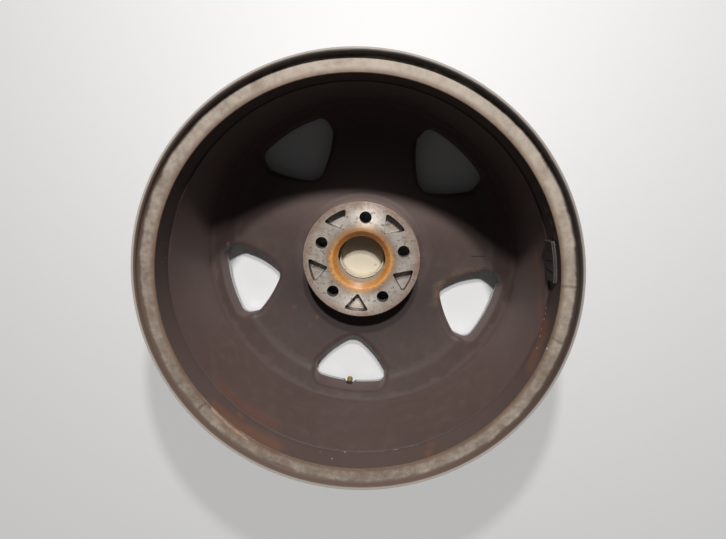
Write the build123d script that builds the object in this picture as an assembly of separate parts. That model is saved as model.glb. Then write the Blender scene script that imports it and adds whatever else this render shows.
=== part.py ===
from build123d import *
from math import cos, degrees, hypot, radians, sin, sqrt, tan
import os

# A one-piece cast aluminium car wheel, 17 x 7.5 inch with five spokes and a drop centre.
# Millimetres. +Z is the wheel's axis and points to the brake side. z = 0 is the plane of the
# outboard flange, on which the wheel lies. One wheel bolt hole is at +Y.
# Sections are drawn as (radius, height, corner fillet) and turned round the axis.

os.makedirs("parts", exist_ok=True)

# Rim
rim_width = 190.5            # between the two bead faces, 7.5 inch
bead_seat_dia = 436.6        # 17 inch rim
flange_height = 17.5
flange_depth = 12.7          # bead face to the flange's outer plane
flange_wall = 5.0
flange_curl = 9.5            # radius of the curl on the tyre side
flange_tip_fillet = 1.8
seat_length = 19.0
seat_taper = 5.0             # degrees
seat_root_fillet = 6.0
hump_rise = 1.3
hump_length = 3.0
hump_fillet = 2.5
well_depth = 17.3
well_front_angle = 33.0      # slope down to the well, degrees from the wheel's plane
well_back_angle = 50.0       # slope up to the barrel
well_bottom = 4.2
well_fillet = 3.0

# Barrel, brake side
barrel_wall = 5.2
barrel_drop_front = 13.8     # bead seat radius less the barrel's inner radius, at the disc
barrel_drop_back = 9.3       # the same, at the weight ledge
barrel_fillet = 7.0
ledge_width = 28.5           # flat for stick-on weights
ledge_drop_front = 7.6
ledge_drop_back = 4.8
ledge_fillet = 1.0
lip_chamfer = 0.6

# Hub
wheel_offset = 43.0          # rim's middle plane to the mounting pad
pad_dia = 155.4
pad_chamfer = 1.0
centre_bore_dia = 64.1
bore_chamfer_width = 7.1     # wide lead-in for the hub's spigot
bore_chamfer_depth = 5.0
bore_depth = 32.2            # pad to the ledge that the cap's fingers catch
clip_groove_width = 4.0      # above that ledge, clear of the hub's spigot
clip_groove_depth = 0.8
boss_height = 49.0
boss_foot_fillet = 8.0
hub_front_z = 16.0
hub_front_r = 42.0

# Disc
disc_back_angle = 10.6       # rise of the spokes' backs, degrees
disc_back_fillet = 16.0
spoke_crown_r = 104.0        # where the spokes' front stands out furthest
spoke_crown_z = 2.6
spoke_foot_r = 202.0         # where the spokes' front meets the lip
spoke_foot_z = 10.0
spoke_crown_fillet = 60.0
lip_step_z = 6.6
lip_fillet = 3.0

# Windows
window_count = 5
window_first_angle = 54.0
window_apex_r = 125.5
window_rim_wall = 9.0        # window to the well's floor
window_half_width = 50.0
window_side_length = 21.4    # shoulder to the outer edge, before rounding
window_side_bulge = 3.5
window_apex_fillet = 20.0
window_shoulder_fillet = 12.0
window_corner_fillet = 12.0
window_waist_z = 22.0        # the narrowest section
window_split_z = 18.0        # edges above this height are on the brake side
window_back_draft = 4.0      # degrees
window_front_draft = 9.0
window_back_fillet = 8.0
window_front_fillet = 3.5

# Wheel bolts
bolt_count = 5
bolt_first_angle = 90.0
bolt_circle_dia = 114.3
bolt_hole_dia = 16.0
bolt_seat_depth = 12.5       # pad to the narrow end of the conical seat
bolt_seat_angle = 60.0       # full cone, degrees
bolt_seat_dia = 26.0
bolt_pocket_dia = 31.0

# Lightening pockets in the pad
pocket_apex_r = 44.5
pocket_outer_r = 70.5
pocket_half_angle = 14.2     # degrees
pocket_depth = 15.0
pocket_draft = 2.0           # degrees
pocket_fillet = 2.6

# Centre cap
cap_bore_dia = 62.0
cap_seat_dia = 71.0
cap_seat_depth = 3.2
cap_rim_gap = 0.4            # round the cap's front plate
cap_skirt_gap = 0.2          # round the skirt in its bore
cap_skirt_wall = 1.3
cap_floor_thickness = 4.0
cap_front_recess = 0.3
cap_hook_reach = 0.6
cap_hook_length = 2.4
cap_front_round = 0.8
cap_floor_fillet = 1.0
cap_finger_count = 8
cap_finger_slot = 1.6
cap_slot_length = 10.0

# Tyre valve
valve_angle = 270.0
valve_seat_rise = 8.0        # its axis on the well's front slope, above the well's floor
valve_hole_dia = 11.3
valve_seat_wall = 4.0
valve_pocket_dia = 19.0
valve_head_dia = 15.2
valve_head_thickness = 5.0
valve_head_round = 1.5
valve_neck_gap = 0.05
valve_ridge_dia = 13.6
valve_ridge_length = 6.0
valve_body_end_dia = 9.6
valve_length = 33.0          # seat to the stem's end
valve_thread_dia = 7.7
valve_thread_length = 9.0
valve_tip_chamfer = 0.5
valve_shank_dia = 5.2
valve_bore_dia = 3.8
valve_core_gap = 0.05
valve_core_length = 20.0
valve_pin_dia = 1.2
valve_pin_length = 4.0
valve_pin_recess = 0.6

# Balance weight
weight_angle = 7.2           # where the strip starts, degrees
weight_segments = 4
weight_segment_length = 10.3
weight_width = 19.0
weight_thickness = 3.0
weight_edge_inset = 0.8      # strip to the ledge's step
weight_groove = 1.0
weight_web = 0.8
tape_thickness = 0.9
tape_gap = 0.3               # between the tape's round back and the ledge

# Main planes and radii
overall_width = rim_width + 2 * flange_depth
pad_z = overall_width / 2 - wheel_offset
pad_r = pad_dia / 2
bore_r = centre_bore_dia / 2
clip_ledge_z = pad_z - bore_depth
seat_r = bead_seat_dia / 2
flange_r = seat_r + flange_height
flange_inner_r = flange_r - flange_wall
back_bead_z = overall_width - flange_depth
back_lip_z = back_bead_z + flange_wall
seat_toe_r = seat_r - seat_length * tan(radians(seat_taper))
hump_r = seat_toe_r + hump_rise
well_r = seat_r - well_depth
window_outer_r = well_r - window_rim_wall
valve_seat_r = well_r + valve_seat_rise
cut = 5.0                    # how far a cutter runs past a face


def disc_back_z(radius):
    """Height of the spokes' conical back at a radius."""
    return pad_z - boss_height + (radius - pad_r) * tan(radians(disc_back_angle))


def meet(start_a, angle_a, start_b, angle_b):
    """Where two lines in the section cross, each given by a point and its rise in degrees."""
    slope_a = tan(radians(angle_a))
    slope_b = tan(radians(angle_b))
    r = (start_b[1] - start_a[1] + start_a[0] * slope_a - start_b[0] * slope_b) / (slope_a - slope_b)
    return r, start_a[1] + (r - start_a[0]) * slope_a


def turned(corners):
    """A solid turned round the Z axis from a closed outline of (radius, height, fillet)."""
    points = [(r, z) for r, z, fillet_radius in corners]
    radii = [fillet_radius for r, z, fillet_radius in corners]
    outline = FilletPolyline(*points, radius=radii, close=True)
    return revolve(Plane.XZ * make_face(outline), axis=Axis.Z)


def ring(solid, count, first_angle):
    """Copies of a solid, evenly spaced round the axis."""
    step = 360 / count
    return [Rot(0, 0, first_angle + step * i) * solid for i in range(count)]


# Rim section: key points shared by the tyre side and the brake side
front_hump_z = flange_depth + seat_length + hump_length
well_front_z = front_hump_z + (hump_r - well_r) * tan(radians(well_front_angle))
well_back_z = well_front_z + well_bottom
barrel_front_r = seat_r - barrel_drop_front
barrel_back_r = seat_r - barrel_drop_back
ledge_front_r = seat_r - ledge_drop_front
ledge_back_r = seat_r - ledge_drop_back
ledge_z = back_lip_z - ledge_width
well_inner_point = (
    well_r - barrel_wall * sin(radians(well_back_angle)),
    well_back_z + barrel_wall * cos(radians(well_back_angle)),
)
disc_corner = meet((pad_r, disc_back_z(pad_r)), disc_back_angle, well_inner_point, well_back_angle)
barrel_front_z = well_inner_point[1] + (barrel_front_r - well_inner_point[0]) * tan(
    radians(well_back_angle)
)
leg_front_z = well_back_z + (barrel_front_r + barrel_wall - well_r) * tan(radians(well_back_angle))
back_hump_z = back_bead_z - seat_length - hump_length
leg_back_z = back_hump_z - hump_length


def brake_side():
    """From the bore's mouth over the pad, boss, spokes' back and barrel to the inboard lip."""
    return [
        (bore_r + bore_chamfer_width, pad_z, 0),
        (pad_r - pad_chamfer, pad_z, 0),
        (pad_r, pad_z - pad_chamfer, 0),
        (pad_r, disc_back_z(pad_r), boss_foot_fillet),
        (*disc_corner, disc_back_fillet),
        (barrel_front_r, barrel_front_z, barrel_fillet),
        (barrel_back_r, ledge_z - ledge_fillet, ledge_fillet),
        (ledge_front_r, ledge_z, 0),
        (ledge_back_r, back_lip_z - lip_chamfer, 0),
        (ledge_back_r + lip_chamfer, back_lip_z, 0),
        (flange_inner_r, back_lip_z, flange_curl - flange_wall),
        (flange_inner_r, overall_width, flange_tip_fillet),
    ]


def tyre_side():
    """From the inboard flange over the bead seats, humps and well to the outboard flange."""
    return [
        (flange_r, overall_width, flange_tip_fillet),
        (flange_r, back_bead_z, flange_curl),
        (seat_r, back_bead_z, seat_root_fillet),
        (seat_toe_r, back_bead_z - seat_length, 0),
        (hump_r, back_hump_z, hump_fillet),
        (barrel_back_r + barrel_wall, leg_back_z - hump_length, barrel_fillet),
        (barrel_front_r + barrel_wall, leg_front_z, barrel_fillet),
        (well_r, well_back_z, well_fillet),
        (well_r, well_front_z, well_fillet),
        (hump_r, front_hump_z, hump_fillet),
        (seat_toe_r, flange_depth + seat_length, 0),
        (seat_r, flange_depth, seat_root_fillet),
        (flange_r, flange_depth, flange_curl),
        (flange_r, 0, flange_tip_fillet),
    ]


def front_side():
    """From the outboard lip over the spokes' front, the cap's seat and its groove to the bore."""
    cap_seat_z = hub_front_z + cap_seat_depth
    groove_r = bore_r + clip_groove_depth
    groove_top = clip_ledge_z + clip_groove_width
    return [
        (flange_inner_r, 0, flange_tip_fillet),
        (flange_inner_r, lip_step_z, lip_fillet),
        (spoke_foot_r, spoke_foot_z, lip_fillet),
        (spoke_crown_r, spoke_crown_z, spoke_crown_fillet),
        (hub_front_r, hub_front_z, lip_fillet),
        (cap_seat_dia / 2, hub_front_z, 0),
        (cap_seat_dia / 2, cap_seat_z, 0),
        (cap_bore_dia / 2, cap_seat_z, 0),
        (cap_bore_dia / 2, clip_ledge_z, 0),
        (groove_r, clip_ledge_z, 0),
        (groove_r, groove_top, 0),
        (bore_r, groove_top, 0),
        (bore_r, pad_z - bore_chamfer_depth, 0),
    ]


def window_face():
    """Outline of one window at its narrowest, pointing along +X from the axis."""
    nose_r = window_apex_r - window_apex_fillet * (sqrt(2) - 1)
    corner_x = sqrt(window_outer_r**2 - window_half_width**2)
    shoulder_x = corner_x - window_side_length
    edges = [ThreePointArc((corner_x, -window_half_width), (window_outer_r, 0), (corner_x, window_half_width))]
    for side in (-1, 1):
        shoulder = (shoulder_x, side * window_half_width)
        middle_x = (nose_r + shoulder_x) / 2
        chord = hypot(shoulder_x - nose_r, window_half_width)
        bulge_x = -window_side_bulge * window_half_width / chord
        bulge_y = window_side_bulge * (shoulder_x - nose_r) / chord
        bulge = (middle_x + bulge_x, side * (window_half_width / 2 + bulge_y))
        edges.append(ThreePointArc((nose_r, 0), bulge, shoulder))
        edges.append(Line(shoulder, (corner_x, side * window_half_width)))
    face = make_face(edges)
    by_radius = face.vertices().sort_by(Axis.X)
    face = fillet(by_radius[0], window_apex_fillet)
    corners = face.vertices().filter_by_position(Axis.X, corner_x - 1, corner_x + 1)
    face = fillet(corners, window_corner_fillet)
    shoulders = face.vertices().filter_by_position(Axis.X, shoulder_x - 1, shoulder_x + 1)
    return fillet(shoulders, window_shoulder_fillet)


def window_cutter():
    """One window as the mould's two cores leave it, drafted each way from its waist."""
    face = Pos(0, 0, window_waist_z) * window_face()
    back_height = barrel_front_z + cut - window_waist_z
    back = extrude(face, amount=back_height, dir=(0, 0, 1), taper=-window_back_draft)
    front = extrude(face, amount=window_waist_z + cut, dir=(0, 0, -1), taper=-window_front_draft)
    return back + front


def bolt_cutter():
    """A wheel bolt's hole with its conical seat and the pocket for its head."""
    hole_r = bolt_hole_dia / 2
    seat_top = pad_z - bolt_seat_depth
    seat_bottom = seat_top - (bolt_seat_dia / 2 - hole_r) / tan(radians(bolt_seat_angle / 2))
    section = [
        (0, pad_z + cut, 0),
        (hole_r, pad_z + cut, 0),
        (hole_r, seat_top, 0),
        (bolt_seat_dia / 2, seat_bottom, 0),
        (bolt_pocket_dia / 2, seat_bottom, 0),
        (bolt_pocket_dia / 2, -cut, 0),
        (0, -cut, 0),
    ]
    return Pos(bolt_circle_dia / 2, 0, 0) * turned(section)


def pocket_cutter():
    """A three-cornered lightening pocket in the pad."""
    reach = pocket_outer_r * cos(radians(pocket_half_angle))
    half_width = pocket_outer_r * sin(radians(pocket_half_angle))
    edges = [
        Line((pocket_apex_r, 0), (reach, half_width)),
        ThreePointArc((reach, half_width), (pocket_outer_r, 0), (reach, -half_width)),
        Line((reach, -half_width), (pocket_apex_r, 0)),
    ]
    face = make_face(edges)
    face = Pos(0, 0, pad_z) * fillet(face.vertices(), pocket_fillet)
    below = extrude(face, amount=pocket_depth, dir=(0, 0, -1), taper=pocket_draft)
    return below + extrude(face, amount=cut)


# The valve's axis is square to the well's front slope. Its own frame has Z along the axis,
# pointing out of the tyre, with z = 0 on the slope.
valve_seat_z = front_hump_z + (hump_r - valve_seat_r) * tan(radians(well_front_angle))
valve_plane = Plane(
    origin=(valve_seat_r, 0, valve_seat_z),
    x_dir=(0, 1, 0),
    z_dir=(-sin(radians(well_front_angle)), 0, -cos(radians(well_front_angle))),
)


def on_valve_axis(solid):
    """Moves a solid from the valve's own frame to its place in the wheel."""
    return Rot(0, 0, valve_angle) * (valve_plane.location * solid)


def valve_cutter():
    """The valve's hole, and the pocket that thins the wall round it."""
    hole = Pos(0, 0, -cut) * Cylinder(
        valve_hole_dia / 2, valve_seat_wall + 2 * cut, align=(Align.CENTER, Align.CENTER, Align.MIN)
    )
    pocket = Pos(0, 0, valve_seat_wall) * Cylinder(
        valve_pocket_dia / 2, valve_length + 2 * cut, align=(Align.CENTER, Align.CENTER, Align.MIN)
    )
    return on_valve_axis(hole + pocket)


def round_window_edges(casting, blank, windows):
    """Rounds the windows' edges, wide on the brake side and narrow on the front."""
    rims = new_edges(blank, *windows, combined=casting)
    rims = [edge for edge in rims if edge.geom_type != GeomType.LINE]
    back = [edge for edge in rims if edge.center().Z > window_split_z]
    front = [edge for edge in rims if edge.center().Z < window_split_z]
    casting = fillet(back, window_back_fillet)
    return fillet([edge for edge in casting.edges() if edge in front], window_front_fillet)


def wheel_casting():
    """The wheel itself: rim, disc and hub in one casting, with its machined holes."""
    blank = turned(brake_side() + tyre_side() + front_side())
    windows = ring(window_cutter(), window_count, window_first_angle)
    casting = round_window_edges(blank - windows, blank, windows)
    casting -= ring(bolt_cutter(), bolt_count, bolt_first_angle)
    casting -= ring(pocket_cutter(), window_count, window_first_angle)
    casting -= valve_cutter()
    return casting


def centre_cap():
    """Moulded cap pressed in from the front, held by sprung fingers that hook over the ledge."""
    seat_z = hub_front_z + cap_seat_depth
    plate_r = cap_seat_dia / 2 - cap_rim_gap
    front_z = hub_front_z + cap_front_recess
    skirt_r = cap_bore_dia / 2 - cap_skirt_gap
    inner_r = skirt_r - cap_skirt_wall
    floor_z = front_z + cap_floor_thickness
    hook_z = clip_ledge_z + cap_skirt_gap
    top_z = hook_z + cap_hook_length
    section = [
        (0, front_z, 0),
        (plate_r - cap_front_round, front_z, 0),
        (plate_r, front_z + cap_front_round, 0),
        (plate_r, seat_z, 0),
        (skirt_r, seat_z, 0),
        (skirt_r, hook_z, 0),
        (skirt_r + cap_hook_reach, hook_z, 0),
        (skirt_r, top_z, 0),
        (inner_r, top_z, 0),
        (inner_r, floor_z, cap_floor_fillet),
        (0, floor_z, 0),
    ]
    slot = Pos(skirt_r, 0, top_z) * Box(2 * cut, cap_finger_slot, 2 * cap_slot_length)
    return turned(section) - ring(slot, cap_finger_count, 0)


def valve_body():
    """Rubber of the snap-in valve: head in the tyre, neck in the hole, ridge and tapered sleeve."""
    neck_r = valve_hole_dia / 2 - valve_neck_gap
    shank_r = valve_shank_dia / 2
    ridge_end = valve_seat_wall + valve_ridge_length
    sleeve_end = valve_length - valve_thread_length
    section = [
        (shank_r, -valve_head_thickness, 0),
        (valve_head_dia / 2, -valve_head_thickness, valve_head_round),
        (valve_head_dia / 2, 0, 0),
        (neck_r, 0, 0),
        (neck_r, valve_seat_wall, 0),
        (valve_ridge_dia / 2, valve_seat_wall, 0),
        (valve_ridge_dia / 2, ridge_end, 0),
        (valve_body_end_dia / 2, sleeve_end, 0),
        (shank_r, sleeve_end, 0),
    ]
    return on_valve_axis(turned(section))


def valve_stem():
    """Brass tube of the valve, with a wider threaded end past the rubber."""
    section = [
        (valve_bore_dia / 2, -valve_head_thickness, 0),
        (valve_shank_dia / 2, -valve_head_thickness, 0),
        (valve_shank_dia / 2, valve_length - valve_thread_length, 0),
        (valve_thread_dia / 2, valve_length - valve_thread_length, 0),
        (valve_thread_dia / 2, valve_length - valve_tip_chamfer, 0),
        (valve_thread_dia / 2 - valve_tip_chamfer, valve_length, 0),
        (valve_bore_dia / 2, valve_length, 0),
    ]
    return on_valve_axis(turned(section))


def valve_core():
    """Screwed-in core with its pin, one sealed unit that stops just inside the stem's end."""
    core_r = valve_bore_dia / 2 - valve_core_gap
    pin_end = valve_length - valve_pin_recess
    barrel_end = pin_end - valve_pin_length
    section = [
        (0, barrel_end - valve_core_length, 0),
        (core_r, barrel_end - valve_core_length, 0),
        (core_r, barrel_end, 0),
        (valve_pin_dia / 2, barrel_end, 0),
        (valve_pin_dia / 2, pin_end, 0),
        (0, pin_end, 0),
    ]
    return on_valve_axis(turned(section))


def ledge_r(z):
    """Inner radius of the slightly conical weight ledge at a height."""
    share = (z - ledge_z) / (back_lip_z - lip_chamfer - ledge_z)
    return ledge_front_r + (ledge_back_r - ledge_front_r) * share


def ledge_layer(depth_out, depth_in, span):
    """A curved strip on the ledge between two depths from it, over an angle in degrees."""
    low = ledge_z + weight_edge_inset
    high = low + weight_width
    section = Polyline(
        (ledge_r(low) - depth_out, low),
        (ledge_r(high) - depth_out, high),
        (ledge_r(high) - depth_in, high),
        (ledge_r(low) - depth_in, low),
        close=True,
    )
    return revolve(Plane.XZ * make_face(section), axis=Axis.Z, revolution_arc=span)


weight_pitch = weight_segment_length + weight_groove
weight_span = degrees((weight_segments * weight_pitch - weight_groove) / ledge_front_r)


def balance_weight():
    """Stick-on strip of equal segments, joined by a thin web where it folds."""
    tape_front = tape_gap + tape_thickness
    strip = ledge_layer(tape_front, tape_front + weight_thickness, weight_span)
    middle_z = ledge_z + weight_edge_inset + weight_width / 2
    web_r = ledge_front_r - tape_front - weight_web
    for i in range(1, weight_segments):
        angle = degrees((i * weight_pitch - weight_groove / 2) / ledge_front_r)
        groove = Pos(web_r - weight_thickness, 0, middle_z) * Box(
            2 * weight_thickness, weight_groove, 2 * weight_width
        )
        strip -= Rot(0, 0, angle) * groove
    return Rot(0, 0, weight_angle) * strip


def weight_tape():
    """Foam tape that holds the strip to the ledge."""
    return Rot(0, 0, weight_angle) * ledge_layer(tape_gap, tape_gap + tape_thickness, weight_span)


pieces = {
    "wheel_casting": wheel_casting(),
    "centre_cap": centre_cap(),
    "valve_body": valve_body(),
    "valve_stem": valve_stem(),
    "valve_core": valve_core(),
    "balance_weight": balance_weight(),
    "weight_tape": weight_tape(),
}
for name, piece in pieces.items():
    export_step(piece, f"parts/{name}.step")
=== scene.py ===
import math
import bpy
from mathutils import Matrix, Vector


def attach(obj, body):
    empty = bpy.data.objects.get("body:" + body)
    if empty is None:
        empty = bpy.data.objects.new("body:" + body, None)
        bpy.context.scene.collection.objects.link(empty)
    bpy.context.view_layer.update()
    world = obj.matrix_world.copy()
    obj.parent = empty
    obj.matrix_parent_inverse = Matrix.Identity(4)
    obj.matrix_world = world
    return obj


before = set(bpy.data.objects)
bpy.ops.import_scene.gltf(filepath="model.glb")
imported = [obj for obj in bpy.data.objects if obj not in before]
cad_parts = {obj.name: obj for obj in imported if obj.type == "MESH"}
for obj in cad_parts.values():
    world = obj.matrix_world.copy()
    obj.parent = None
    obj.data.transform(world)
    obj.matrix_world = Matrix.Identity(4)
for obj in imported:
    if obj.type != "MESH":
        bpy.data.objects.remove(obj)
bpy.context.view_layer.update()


# Wheel casting: one aluminium casting, painted dark on the brake side and silver on the front,
# with the pad, bore and bolt holes machined bare. Used: brake dust on the paint, rust from the
# car's hub round the bore, and a lip worn bare where tyre tools and old weights have rubbed.
pad_z = 0.06495           # face that rests on the car's hub
pad_r = 0.0777
pad_edge_depth = 0.0062   # machined with the face: the pad's rim and the bore's chamfer
pocket_depth = 0.0150     # lightening pockets in the pad
bore_r = 0.03205
bore_lead_r = 0.03915     # outer edge of the bore's chamfer
groove_z = 0.0326         # just under the cap's clip groove; below it the bore is lacquered
front_recess_r = 0.0362   # just outside the cap's seat in the front
bolt_count = 5
bolt_circle_r = 0.05715
bolt_seat_r = 0.0160      # head pocket and conical seat of a wheel bolt, open to the front
bolt_seat_z = 0.0490
disc_top_z = 0.0750       # above it the disc has become the barrel
barrel_outer_r = 0.1990   # everything on the tyre side lies outside it
front_lip_r = 0.2110      # inner edge of the outboard flange's face
front_lip_z = 0.0125
ledge_z = 0.1797          # step under the weight ledge
lip_z = 0.2082            # plane of the worn annulus behind the inboard flange
lip_inner_r = 0.2141
curl_r = 0.2264           # where the annulus curls up into the flange
flange_r = 0.2358
flange_tip_z = 0.2159     # and so the wheel's whole width


def linear(hex_colour):
    """An sRGB hex colour as linear RGBA."""
    channels = [int(hex_colour[i:i + 2], 16) / 255 for i in (0, 2, 4)]
    return (*[c / 12.92 if c < 0.04045 else ((c + 0.055) / 1.055) ** 2.4 for c in channels], 1.0)


def add(tree, kind, inputs=(), **settings):
    """Adds a node with its settings. An input given as a socket is linked, any other is set.
    Gives back the node's first socket in use."""
    node = tree.nodes.new("ShaderNode" + kind)
    for name, value in settings.items():
        setattr(node, name, value)
    for name, value in dict(inputs).items():
        if isinstance(value, bpy.types.NodeSocket):
            tree.links.new(value, node.inputs[name])
        else:
            node.inputs[name].default_value = value
    return next((socket for socket in node.outputs if socket.enabled), None)


def new_material(name):
    """An empty node material."""
    made = bpy.data.materials.new(name)
    made.use_nodes = True
    made.node_tree.nodes.clear()
    return made


def wheel_place(tree):
    """A point's place in the wheel's frame and its parts, as sockets: x across and y upwards as the
    wheel stood, height above the outboard flange, and distance from the axis."""
    place = add(tree, "TexCoord").node.outputs["Object"]
    across, upwards, height = add(tree, "SeparateXYZ", {0: place}).node.outputs
    flat = add(tree, "CombineXYZ", {"X": across, "Y": upwards})
    radius = add(tree, "VectorMath", {0: flat}, operation="LENGTH").node.outputs["Value"]
    return place, across, upwards, height, radius


def spots(tree, place, centres, size):
    """Mask that is 1 at some points, in metres, and fades out over a ragged edge."""
    ragged = add(tree, "TexNoise", {"Vector": place, "Scale": 90, "Detail": 5, "Roughness": 0.65})
    mask = None
    for centre in centres:
        distance = add(tree, "VectorMath", {0: place, 1: centre}, operation="DISTANCE")
        distance = distance.node.outputs["Value"]
        reach = add(
            tree, "Math", {0: ragged, 1: -1.6 * size, 2: distance}, operation="MULTIPLY_ADD",
        )
        near = add(
            tree, "MapRange", {"Value": reach, "From Min": 0.25 * size, "From Max": -0.75 * size},
            interpolation_type="SMOOTHSTEP",
        )
        mask = near if mask is None else add(tree, "Math", {0: mask, 1: near}, operation="MAXIMUM")
    return mask


def stroke(tree, place, points, width):
    """Mask that is 1 along a line through some points, in metres, and fades out raggedly."""
    ragged = add(
        tree, "TexNoise", {"Vector": place, "Scale": 0.5 / width, "Detail": 4, "Roughness": 0.6},
    )
    mask = None
    for start, end in zip(points, points[1:]):
        run = Vector(end) - Vector(start)
        gone = add(tree, "VectorMath", {0: place, 1: start}, operation="SUBTRACT")
        share = add(
            tree, "VectorMath", {0: gone, 1: run / run.length_squared}, operation="DOT_PRODUCT",
        )
        share = add(tree, "Clamp", {"Value": share.node.outputs["Value"]})
        foot = add(tree, "VectorMath", {0: run, "Scale": share}, operation="SCALE")
        distance = add(tree, "VectorMath", {0: gone, 1: foot}, operation="DISTANCE")
        distance = distance.node.outputs["Value"]
        reach = add(
            tree, "Math", {0: ragged, 1: -1.4 * width, 2: distance}, operation="MULTIPLY_ADD",
        )
        near = add(
            tree, "MapRange", {"Value": reach, "From Min": 0.1 * width, "From Max": -0.6 * width},
            interpolation_type="SMOOTHSTEP",
        )
        mask = near if mask is None else add(tree, "Math", {0: mask, 1: near}, operation="MAXIMUM")
    return mask


def worn_edge(tree, place, size):
    """Mask that is 1 in patches along sharp edges, where rubbing wears a coat through."""
    normal = add(tree, "NewGeometry").node.outputs["Normal"]
    soft = add(tree, "Bevel", {"Radius": size}, samples=6)
    bend = add(tree, "VectorMath", {0: normal, 1: soft}, operation="DOT_PRODUCT")
    bend = bend.node.outputs["Value"]
    edge = add(tree, "MapRange", {"Value": bend, "From Min": 0.99, "From Max": 0.92})
    patchy = add(tree, "TexNoise", {"Vector": place, "Scale": 110, "Detail": 5, "Roughness": 0.65})
    patchy = add(tree, "MapRange", {"Value": patchy, "From Min": 0.42, "From Max": 0.58})
    return add(tree, "Math", {0: edge, 1: patchy}, operation="MULTIPLY")


# Dark satin paint over cast aluminium: cast grain shows through, and a dry coat of brake dust
# makes it scatter light so evenly that even glancing light brings out its colour. It is cloudy
# over 110 mm and mottled over 17 mm, and the mould's sand has left a grain of 0.9 mm.
paint = new_material("satin_paint_on_cast_aluminium")
tree = paint.node_tree
place, _, upwards, height, radius = wheel_place(tree)
cloud = add(tree, "TexNoise", {"Vector": place, "Scale": 9, "Detail": 4, "Roughness": 0.55})
mottle = add(tree, "TexNoise", {"Vector": place, "Scale": 60, "Detail": 6, "Roughness": 0.6})
grain = add(tree, "TexNoise", {"Vector": place, "Scale": 1100, "Detail": 2})
colour = add(tree, "Mix", {0: cloud, 6: linear("503F3B"), 7: linear("5C4B47")}, data_type="RGBA")
dust = add(tree, "MapRange", {"Value": mottle, "From Min": 0.48, "From Max": 0.75, "To Max": 0.3})
colour = add(tree, "Mix", {0: dust, 6: colour, 7: linear("6D5B55")}, data_type="RGBA")
speckle = add(tree, "MapRange", {"Value": grain, "From Min": 0.60, "From Max": 0.8, "To Max": 0.35})
colour = add(tree, "Mix", {0: speckle, 6: colour, 7: linear("3D322E")}, data_type="RGBA")
# faint lighter rings where the disc curves up into the barrel and round the hub's foot
wander = add(tree, "MapRange", {"Value": mottle, "To Min": -0.008, "To Max": 0.008})
ring_r = add(tree, "Math", {0: radius, 1: wander}, operation="ADD")
for line_r, width, strength in (
    (0.2015, 0.0050, 0.13), (0.1760, 0.0060, 0.10), (0.0900, 0.0090, 0.10),
):
    off = add(tree, "Math", {0: ring_r, 1: line_r}, operation="SUBTRACT")
    off = add(tree, "Math", {0: off}, operation="ABSOLUTE")
    band = add(
        tree, "MapRange", {"Value": off, "From Min": width, "From Max": 0, "To Max": strength},
        interpolation_type="SMOOTHSTEP",
    )
    low = add(
        tree, "MapRange", {"Value": height, "From Min": disc_top_z, "From Max": disc_top_z - 0.015},
    )
    band = add(tree, "Math", {0: band, 1: low}, operation="MULTIPLY")
    colour = add(tree, "Mix", {0: band, 6: colour, 7: linear("8F8079")}, data_type="RGBA")
# painted light on the upper spokes beside the hub, and painted shade on the spokes below it
by_hub = add(
    tree, "MapRange", {"Value": ring_r, "From Min": 0.165, "From Max": 0.095},
    interpolation_type="SMOOTHSTEP",
)
for near_y, far_y, strength, tone in (
    (0.015, 0.075, 0.50, "85736C"), (0.005, -0.060, 0.62, "382C29"),
):
    half = add(
        tree, "MapRange",
        {"Value": upwards, "From Min": near_y, "From Max": far_y, "To Max": strength},
        interpolation_type="SMOOTHSTEP",
    )
    half = add(tree, "Math", {0: half, 1: by_hub}, operation="MULTIPLY")
    colour = add(tree, "Mix", {0: half, 6: colour, 7: linear(tone)}, data_type="RGBA")
# rust washed down from old steel weights, at the right and at the lower left
washed = stroke(
    tree, place,
    [(0.2016, 0.0406, 0.1395), (0.2062, 0.0174, 0.1499), (0.2084, -0.0026, 0.1625),
     (0.2090, -0.0141, 0.1713)],
    0.016,
)
below_step = stroke(
    tree, place, [(-0.1440, -0.1500, 0.176), (-0.1189, -0.1715, 0.174), (-0.0900, -0.1880, 0.172)],
    0.026,
)
below_step = add(tree, "Math", {0: below_step, 1: 0.6}, operation="MULTIPLY")
washed = add(tree, "Math", {0: washed, 1: below_step}, operation="MAXIMUM")
washed = add(tree, "Math", {0: washed, 1: 0.46}, operation="MULTIPLY")
colour = add(tree, "Mix", {0: washed, 6: colour, 7: linear("7A4A34")}, data_type="RGBA")
fleck = spots(
    tree, place,
    [(-0.0560, -0.1000, 0.0215), (-0.0660, -0.1120, 0.0230), (-0.0900, -0.0880, 0.0235)], 0.006,
)
fleck = add(tree, "Math", {0: fleck, 1: 0.35}, operation="MULTIPLY")
colour = add(tree, "Mix", {0: fleck, 6: colour, 7: linear("8A5238")}, data_type="RGBA")
# paint rubbed thin round the right window, lightened further as a painted highlight on its rounded
# edge;
# a painted lit strip on the outer wall of the left window; paint scraped off in places and along
# sharp edges, and a fine crack in the right spoke
# rubbed paint, with a painted highlight along the window's rounded edge
rubbed = stroke(
    tree, place,
    [(0.1079, -0.0590, 0.0245), (0.1111, -0.0398, 0.0232), (0.1198, -0.0210, 0.0242),
     (0.1350, -0.0115, 0.0266), (0.1585, -0.0040, 0.0292)],
    0.0130,
)
patches = add(
    tree, "MapRange",
    {"Value": mottle, "From Min": 0.42, "From Max": 0.66, "To Min": 0.08, "To Max": 0.42},
)
rubbed = add(tree, "Math", {0: rubbed, 1: patches}, operation="MULTIPLY")
colour = add(tree, "Mix", {0: rubbed, 6: colour, 7: linear("8C745E")}, data_type="RGBA")
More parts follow.
